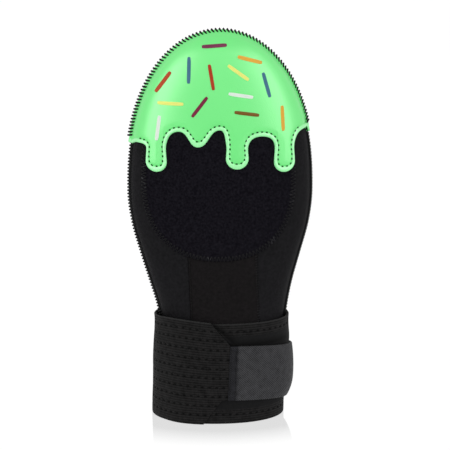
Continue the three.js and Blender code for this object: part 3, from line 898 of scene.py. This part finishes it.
from_middle = (SEAMS["right"][1] - PATCH_ACROSS) / PATCH_HALF
patch_foot = PATCH_MIDDLE - PATCH_FOOT * (1 - from_middle**PATCH_FULLNESS) ** (1 / PATCH_FULLNESS)
for face, top in (("front", patch_foot - 1), ("palm", min(ends) - PALM_HEM_SAG)):
    upright_stitches(face + "_right_ladder_thread", face, "right", LADDER_SHIFT, STRAP_TOP - 3, top,
                     LADDER_PITCH, LADDER_WIDTH, LADDER_SLANT)
    upright_stitches(face + "_left_row_thread", face, "left", SIDE_ROW, STRAP_TOP - 3, top,
                     ROW_PITCH, 0.0, ROW_BITE)

# The sprinkles are bars of bright satin stitch, embroidered through the leather of the front cap.
BAR_LENGTH, BAR_WIDTH, BAR_RISE = 17.6, 2.5, 0.5
SATIN_PITCH = 0.42  # from one thread to the next
PURPLE, BLUE, WHITE = (0.22, 0.030, 0.090), (0.070, 0.20, 0.31), (0.90, 1.00, 0.90)
ORANGE, YELLOW, RUST = (0.92, 0.48, 0.060), (1.00, 1.00, 0.24), (0.220, 0.100, 0.010)
RED, MAROON, BRICK = (0.50, 0.045, 0.010), (0.22, 0.015, 0.055), (0.56, 0.080, 0.025)
SPRINKLES = (  # middle across and up, slant in degrees, colour
    (-4.4, 275.9, 4, PURPLE), (-22.6, 259.6, -93, BLUE), (20.2, 266.5, -15, ORANGE),
    (12.0, 258.1, -35, YELLOW), (-7.1, 255.1, -81, RED), (31.7, 249.2, -74, BLUE),
    (-40.2, 251.1, -127, BRICK), (13.6, 242.5, -9, WHITE), (-35.6, 236.8, -1, YELLOW),
    (-15.6, 234.7, -128, MAROON), (17.7, 229.8, -8, RUST), (43.1, 225.7, -87, ORANGE),
    (-44.5, 219.4, -98, WHITE),
)
threads = int(BAR_LENGTH / SATIN_PITCH)
bar_along = np.linspace(-0.5, 0.5, threads * 4 + 1)
bar_across = np.sin(np.linspace(-1, 1, 9) * np.pi / 2)
a, b = np.meshgrid(bar_along, bar_across, indexing="ij")
slim = np.sqrt(np.clip(1 - np.abs(2 * a) ** 6, 0, 1)) * 0.5 + 0.5  # the width eases off at the ends
slim *= np.where(np.abs(a) > 0.4999, 0.0, 1.0)
ridge = np.abs(np.sin(np.pi * threads * a + 0.25 * b))
dome = np.sqrt(np.clip(1 - b * b, 0, 1)) * np.minimum(1, slim * 1.3)
bar_rise = BAR_RISE * dome * (0.84 + 0.16 * ridge)
u, v = a * BAR_LENGTH, b * slim * BAR_WIDTH / 2
x0, z0, turn = (np.array([bar[k] for bar in SPRINKLES])[:, None, None] for k in range(3))
turn = np.radians(turn)
x = x0 + u * np.cos(turn) - v * np.sin(turn)
z = z0 + u * np.sin(turn) + v * np.cos(turn)
angle = front_angle(x, z)
rise = rise_of(z)
ground = cap_base(rise, angle) + LEATHER + LEATHER_SWELL
bar_points = np.stack([skin(rise, angle, ground + bar_rise), skin(rise, angle, ground - 0.25)], axis=1)
starts = np.arange(len(SPRINKLES))[:, None, None] * a.size * 2
bar_faces = (two_faced(*a.shape)[None] + starts).reshape(-1, 4)
bar_marks = np.tile(np.stack([u, v], -1).reshape(-1, 2), (2 * len(SPRINKLES), 1))
sprinkles = mesh_piece("sprinkle_embroidery", bar_points, bar_faces, bar_marks)
# Merging the ends changed the points' order, so each point takes the tint of the nearest bar.
spots = np.array([bar[:2] for bar in SPRINKLES]) * MM
found = np.zeros(len(sprinkles.data.vertices) * 3)
sprinkles.data.vertices.foreach_get("co", found)
places = found.reshape(-1, 3)[:, [0, 2]]
nearest = np.argmin(np.linalg.norm(places[:, None] - spots[None], axis=-1), axis=1)
tint = sprinkles.data.attributes.new("thread_tint", "FLOAT_COLOR", "POINT")
dyes = np.array([(*bar[3], 1.0) for bar in SPRINKLES], np.float32)
tint.data.foreach_set("color", dyes[nearest].ravel())
satin = Finish("satin_embroidery", (0.5, 0.2, 0.1), 0.5, specular_ior_level=0.12)
lengthwise, crosswise = satin.cloth_place()
ridges = (lengthwise * (2 * np.pi / SATIN_PITCH) + crosswise * 0.5).wave()
dye = satin.node("Attribute", {"attribute_name": "thread_tint"}, output="Color")
dark = satin.node("VectorMath", {"operation": "MULTIPLY"}, {0: dye, 1: (0.75, 0.75, 0.75)})
satin.set("Base Color", satin.mix(ridges * 0.7 + satin.noise(1500) * 0.4, dark, dye))
satin.relief(ridges, 0.00015, 0.8)
sprinkles.data.materials.append(satin.material)

# The wrist strap is 3 inch woven elastic. It is sewn on at the back of the wrist, runs once round the
# cuff and over its own beginning, and tapers to the height of the hook tab.
ELASTIC, GAP = 1.6, 0.3
ON_ELASTIC = GAP + ELASTIC + GAP
STRAP_START, STRAP_END = 120.0, 85.2 - 360
LAP_START, LAP_RISE = 120.0 - 360, 30.0
TOP_TAPER = (100.0 - 360, STRAP_END)
FOOT_TAPER = (103.0 - 360, 89.5 - 360)
CORNER_RISE, CORNER_TURN = 3.0, -232.0  # how far the top edge rises at the front left, and where
SIDE_BULGE = 1.7  # how far the first turn is pushed out beside the tab
TAB_LINE, TAB_HEIGHT = 39.0, 41.4
SLOT_ROW, SLOT_PITCH, FIRST_ROW = 7.0, 5.2, 5.9
SLOT_LONG, SLOT_TALL, SLOT_DEEP = 1.45, 0.75, 0.6
LOOPS = (20.0, 150.0, 11.0, 67.0)  # the loop panel: from and to along the strap, from and to up it
RUN_HEIGHT, RUN_OFF = 38.0, 2.0  # where a band's length is measured: half way up, and this far off the cuff


def on_cuff(height, turn, off):
    """A point that stands level off the cuff at a height and a turn in degrees.

    The strap clears the side seams, and at the left a little more so towards its upper edge."""
    height, turn, off = np.broadcast_arrays(height, np.radians(turn), off)
    flare = 0.75 * ease((height - 18) / 42)
    point = skin(height / WIDEST, turn, off, wider=SEAM_HIGH + 0.15 + flare, ridge=0)
    point[..., 0] -= flare
    point[..., 2] = height
    return point


def run_along(turns):
    """The distance along a band at each turn."""
    return arc_of(on_cuff(RUN_HEIGHT, turns, RUN_OFF))


def band(name, turns, low, high, inner_off, thick, relief, rows, stretch=1.0):
    """A flat band: one closed loop of points over its outer and inner face, carried along the turns.

    low and high are its edges at each turn. inner_off places its inner face by the turn and the share of
    the height. relief adds to the outer face by the distance along and the height. stretch is how much
    taller than its weave the band is at each turn."""
    along = run_along(turns)
    edge = np.array([0, 0.02, 0.08, 0.2, 0.4, 0.7])
    inner_shares = np.linspace(1, 0, 8)
    tall = (high - low)[:, None]
    near = np.concatenate([edge[None, :] / tall, np.linspace(1 / tall[:, 0], 1 - 1 / tall[:, 0], rows).T,
                           1 - edge[None, ::-1] / tall], axis=1)
    outer_height = low[:, None] + near * tall
    inset = np.minimum(near, 1 - near) * tall
    off = inner_off(turns[:, None], near) + thick + rolled(inset, 0.7, 0.6)
    off = off + relief(along[:, None], outer_height / np.reshape(stretch, (-1, 1)))
    outside = on_cuff(outer_height, turns[:, None], off)
    inner_height = low[:, None] + inner_shares[None, :] * tall
    inside_off = inner_off(turns[:, None], inner_shares[None, :] + 0 * tall)
    inside = on_cuff(inner_height, turns[:, None], inside_off)
    loops = np.concatenate([outside, inside], axis=1)
    stations, around = loops.shape[:2]
    faces = [list(f) for f in grid_faces(stations, around, closed_columns=True)]
    faces += [list(range(around)), list(range((stations - 1) * around, stations * around))[::-1]]
    heights = np.concatenate([outer_height, inner_height], axis=1) / np.reshape(stretch, (-1, 1))
    cloth = np.stack([along[:, None] + 0 * heights, heights], -1)
    return mesh_piece(name, loops, faces, cloth)


def strap_off(turn, share):
    """The strap's underside: on the cuff, then over its own first turn."""
    lap = GAP + (ON_ELASTIC - GAP) * ease((LAP_START + LAP_RISE - turn) / LAP_RISE)
    beside_tab = np.clip(np.cos(np.radians(turn)), 0, 1) ** 8 * np.exp(-(((share - 0.74) / 0.14) ** 2))
    return lap + SIDE_BULGE * beside_tab * (turn > -90)


def slots(along, height):
    """Staggered rows of small woven slots, sunk in. The loop panel that the tab grips has none."""
    row = (STRAP_TOP - FIRST_ROW - height) / SLOT_ROW
    nearest_row = np.round(row)
    step = along / SLOT_PITCH + 0.5 * (nearest_row % 2)
    beside = (step - np.round(step)) * SLOT_PITCH / SLOT_LONG
    above = (row - nearest_row) * SLOT_ROW / SLOT_TALL
    on_loops = (along > LOOPS[0]) & (along < LOOPS[1]) & (height > LOOPS[2]) & (height < LOOPS[3])
    keep = (nearest_row >= 0) & (nearest_row <= 9) & ~on_loops
    return -SLOT_DEEP * np.exp(-((beside**2 + above**2) ** 1.5)) * keep


def taper(turn, start, end):
    """A share that runs straight from 0 to 1 as the turn falls from start to end."""
    return np.clip((start - turn) / (start - end), 0, 1)


turns = np.linspace(STRAP_START, STRAP_END, 575)
strap_low = (TAB_LINE - TAB_HEIGHT / 2) * taper(turns, *FOOT_TAPER)
corner = CORNER_RISE * np.exp(-(((turns - CORNER_TURN) / np.where(turns > CORNER_TURN, 42, 30)) ** 2))
strap_high = STRAP_TOP + corner + (TAB_LINE + TAB_HEIGHT / 2 - STRAP_TOP) * taper(turns, *TOP_TAPER)
strap = band("elastic_strap", turns, strap_low, strap_high, strap_off, ELASTIC, slots, 132,
             1 + corner / STRAP_TOP)
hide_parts("wrist_strap")

# Where along the strap the painted shade beside its slanting end meets the top edge, the shade's width, and
# where along the strap it ends.
SHADE_START, SHADE_WIDTH, SHADE_END = 18.5, 4.6, 100.0
elastic = Finish("woven_elastic", (0.012, 0.012, 0.012), 0.75, specular_ior_level=0.04, sheen_weight=0.03)
along, up = elastic.cloth_place()
warp = (along * (2 * np.pi / 1.04)).wave()
weft = (up * (2 * np.pi * 4 / SLOT_ROW)).wave()
row = (STRAP_TOP - FIRST_ROW - up) * (1 / SLOT_ROW)
row_number = (row + 0.5).maths("FLOOR")
odd = (row_number * 0.5).wrapped(1.0)
beside = ((along * (1 / SLOT_PITCH) + odd + 0.5).wrapped(1.0) - 0.5) * (SLOT_PITCH / SLOT_LONG)
above = (row - row_number) * (SLOT_ROW / SLOT_TALL)
on_loops = (along.over(LOOPS[0]) - along.over(LOOPS[1])) * (up.over(LOOPS[2]) - up.over(LOOPS[3]))
hole = (1 - ((beside * beside + above * above) * 0.8).maths("MINIMUM", 1.0)) * (1 - on_loops)
selvage = ((up - (STRAP_TOP - 0.9)) * 2.0).held()
# Painted shade: under the tab's upper edge and beside the strap's slanting end the cloth is darkened where
# shade falls between the layers.
slant = (up - STRAP_TOP) * 0.75 + (along - SHADE_START) * 0.66
beside_end = (1 - (slant * (1 / SHADE_WIDTH)).size().maths("MINIMUM", 1.0)) * slant.over(-1.0)
above_tab = (up - TAB_LINE - TAB_HEIGHT / 2 - 0.5) * (1 / SHADE_WIDTH)
over_tab = 1 - above_tab.size().maths("MINIMUM", 1.0)
crease_shade = beside_end.maths("MAXIMUM", over_tab) * (1 - along.over(SHADE_END))
mottle = elastic.noise(300, 3)
tone = warp * 0.25 + weft * 0.4 + (mottle - 0.5) * 0.9 + 0.2
cloth_tone = elastic.mix(tone * 1.5 - 0.25, (0.0014, 0.0014, 0.0014), (0.0150, 0.0143, 0.0143))
loop_tone = elastic.mix(mottle, (0.0045, 0.0045, 0.0048), (0.0085, 0.0085, 0.0088))
cloth_tone = elastic.mix(on_loops, cloth_tone, loop_tone)
cloth_tone = elastic.mix(selvage * 0.8, cloth_tone, (0.024, 0.024, 0.024))
# The painted shade darkens the cloth's colour along the tab's edge and the strap's slanting end.
cloth_tone = elastic.mix(crease_shade * 0.85, cloth_tone, (0.0008, 0.0008, 0.0008))
elastic.set("Base Color", elastic.mix(hole, cloth_tone, (0.0008, 0.0008, 0.0008)))
elastic.relief((warp * 0.5 + weft * 0.6) * (1 - on_loops) + mottle * 0.3 - hole, 0.0003, 0.9)
strap.data.materials.append(elastic.material)

# The hook tab is woven tape, nominally 40 mm wide, sewn to the strap's tapered end. It lies on the
# strap and bows out where it passes the side of the wrist.
TAPE = 1.8
TAB_START, TAB_END = STRAP_END + 360, -58.0
TAB_DROP, TAB_BULGE = 7.0, 4.0
TAB_SEWN = 5.4  # the width sewn down to the elastic


def tab_drop(turn):
    return TAB_DROP * (1 - np.sin(np.radians(turn)))


def sewn_dip(along, height):
    """The outer face lies lower over the width that is sewn down."""
    return -0.2 * (1 - ease((along - TAB_SEWN + 2) / 4)) + 0 * height


def tab_off(turn, share):
    """The tab's underside: on the elastic, and bowed out by the fourth power of the cosine of its turn.

    The bow starts at the lower edge, is full at 0.4 of the height and has halved at the upper edge."""
    low = 1 - np.clip(1 - share / 0.4, 0, 1) ** 2.3
    high = 0.55 * np.clip((share - 0.4) / 0.6, 0, 1) ** 2
    return ON_ELASTIC + TAB_BULGE * np.cos(np.radians(turn)) ** 4 * (low - high)


turns = np.linspace(TAB_START - 0.15, TAB_END, 240)
tab_middle = TAB_LINE - tab_drop(turns) + tab_drop(TAB_START)
tab = band("hook_tape_tab", turns, tab_middle - TAB_HEIGHT / 2, tab_middle + TAB_HEIGHT / 2,
           tab_off, TAPE, sewn_dip, 84)
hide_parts("hook_tab")

tape = Finish("twill_hook_tape", (0.036, 0.036, 0.039), 0.6, specular_ior_level=0.1)
along, up = tape.cloth_place()
twill = (along * (2 * np.pi / 1.6) + up * (2 * np.pi / 1.6)).wave()
thread = (along * (2 * np.pi / 0.5)).wave()
mottle = tape.noise(260, 3)
sewn = 1 - ((along - TAB_SEWN + mottle * 4 - 1.4) * 0.33).held()
weave = (twill * 0.7 + mottle * 0.7 + thread * 0.1 - 0.28) * 1.25
tape_tone = tape.mix(weave, (0.0030, 0.0030, 0.0034), (0.050, 0.050, 0.054))
sewn_tone = tape.mix((mottle - 0.3) * 1.8, (0.0030, 0.0030, 0.0044), (0.0105, 0.0104, 0.0140))
tape.set("Base Color", tape.mix(sewn * 0.9, tape_tone, sewn_tone))
tape.relief(twill * 0.8 + thread * 0.2 + mottle * 0.2, 0.0003, 0.9)
tab.data.materials.append(tape.material)

# Two rows of stitches hold the tab's sewn end down to the strap.
TAB_ROWS = (0.9, 5.2)  # how far each row lies from the tab's end
TAB_PITCH, TAB_BITE, TAB_THICK = 1.9, 1.3, 0.26
tab_turns = np.interp(TAB_ROWS, run_along(turns), turns)
stitch_z = np.arange(TAB_LINE - TAB_HEIGHT / 2 + 1.6, TAB_LINE + TAB_HEIGHT / 2 - 1.2, TAB_PITCH)
rows_z = np.concatenate([stitch_z, stitch_z])[:, None] + across * (TAB_BITE / 2)
rows_turn = np.repeat(tab_turns, len(stitch_z))[:, None] + 0 * across
sewn_share = (rows_z - TAB_LINE) / TAB_HEIGHT + 0.5
stitch_off = tab_off(rows_turn, sewn_share) + TAPE + 0.1 - 0.5 * np.abs(across) ** 8
tab_thread = thread_tubes("tab_sewing_thread", on_cuff(rows_z, rows_turn, stitch_off),
                          skin_normal(rows_z / WIDEST, np.radians(rows_turn)), TAB_THICK, 6, 0.2)
tab_thread.data.materials.append(GREY_THREAD)

# The studio: a pale floor, soft light all round, and the camera at the photograph's place.
FLOOR_HALF, FLOOR_HEIGHT = 6.0, -0.0003  # in metres
corners = [(x * FLOOR_HALF, y * FLOOR_HALF, FLOOR_HEIGHT) for x, y in ((-1, -1), (1, -1), (1, 1), (-1, 1))]
floor_mesh = bpy.data.meshes.new("floor")
floor_mesh.from_pydata(corners, [], [(0, 1, 2, 3)])
floor = bpy.data.objects.new("floor", floor_mesh)
bpy.context.scene.collection.objects.link(floor)
floor_finish = Finish("lit_white_floor", (0.04, 0.04, 0.04), 0.8, specular_ior_level=0.0,
                      coat_roughness=0.04, coat_ior=2.35,
                      emission_color=(1, 1, 1, 1), emission_strength=0.98)
# The floor is lit from below, and a polish that fades away from the cuff mirrors its foot.
parts = floor_finish.tree.nodes.new("ShaderNodeSeparateXYZ")
plug(parts.inputs[0], floor_finish.object_place())
sideways = Wire(parts.outputs[0]) * (1 / 0.050)
forward = (Wire(parts.outputs[1]) - SEAM_PLANE * MM) * (1 / 0.035)
ring = (sideways * sideways + forward * forward).power(0.5)
floor_finish.set("Coat Weight", (2.42 - ring).held().power(1.25))
floor_mesh.materials.append(floor_finish.material)

world = bpy.data.worlds.new("studio")
bpy.context.scene.world = world
bpy.context.scene.view_settings.view_transform = "Standard"
world.use_nodes = True
world.node_tree.nodes["Background"].inputs["Color"].default_value = (1, 1, 1, 1)
world.node_tree.nodes["Background"].inputs["Strength"].default_value = 1.0


def softbox(name, place, towards, width, height, watts, gloss_only=False):
    """A rectangular lamp at a place in metres that faces a point. It may show in shiny surfaces alone."""
    lamp = bpy.data.lights.new(name, "AREA")
    lamp.shape = "RECTANGLE"
    lamp.size, lamp.size_y, lamp.energy = width, height, watts
    holder = bpy.data.objects.new(name, lamp)
    holder.location = place
    holder.rotation_euler = (Vector(towards) - Vector(place)).to_track_quat("-Z", "Y").to_euler()
    holder.visible_diffuse = not gloss_only
    bpy.context.scene.collection.objects.link(holder)


softbox("left_strip", (-0.92, -0.62, 0.65), (0, 0, 0.18), 1.0, 1.7, 21.0, gloss_only=True)
softbox("right_strip", (0.86, -0.66, 0.65), (0, 0, 0.18), 1.0, 1.7, 19.0, gloss_only=True)
softbox("key_softbox", (-0.8, -0.9, 0.9), (0, 0, 0.15), 0.7, 0.7, 1.0)

DISTANCE, ELEVATION, AZIMUTH = 1.227, np.radians(12), np.radians(-3)
FRAME, FOCAL_PIXELS = 450, 1653.6
AIM_PIXEL = (219.7, 222.5)  # where the photograph shows the point that the camera turns about
aim = Vector((0, SEAM_PLANE * MM, 0.145))
level = np.cos(ELEVATION)
away = Vector((np.sin(AZIMUTH) * level, -np.cos(AZIMUTH) * level, np.sin(ELEVATION)))
lens = bpy.data.cameras.new("camera")
lens.sensor_width = 36
lens.lens = FOCAL_PIXELS / FRAME * lens.sensor_width
lens.shift_x = (FRAME / 2 - AIM_PIXEL[0]) / FRAME
lens.shift_y = -(FRAME / 2 - AIM_PIXEL[1]) / FRAME
camera = bpy.data.objects.new("camera", lens)
camera.location = aim + away * DISTANCE
camera.rotation_euler = (-away).to_track_quat("-Z", "Y").to_euler()
bpy.context.scene.collection.objects.link(camera)
bpy.context.scene.camera = camera
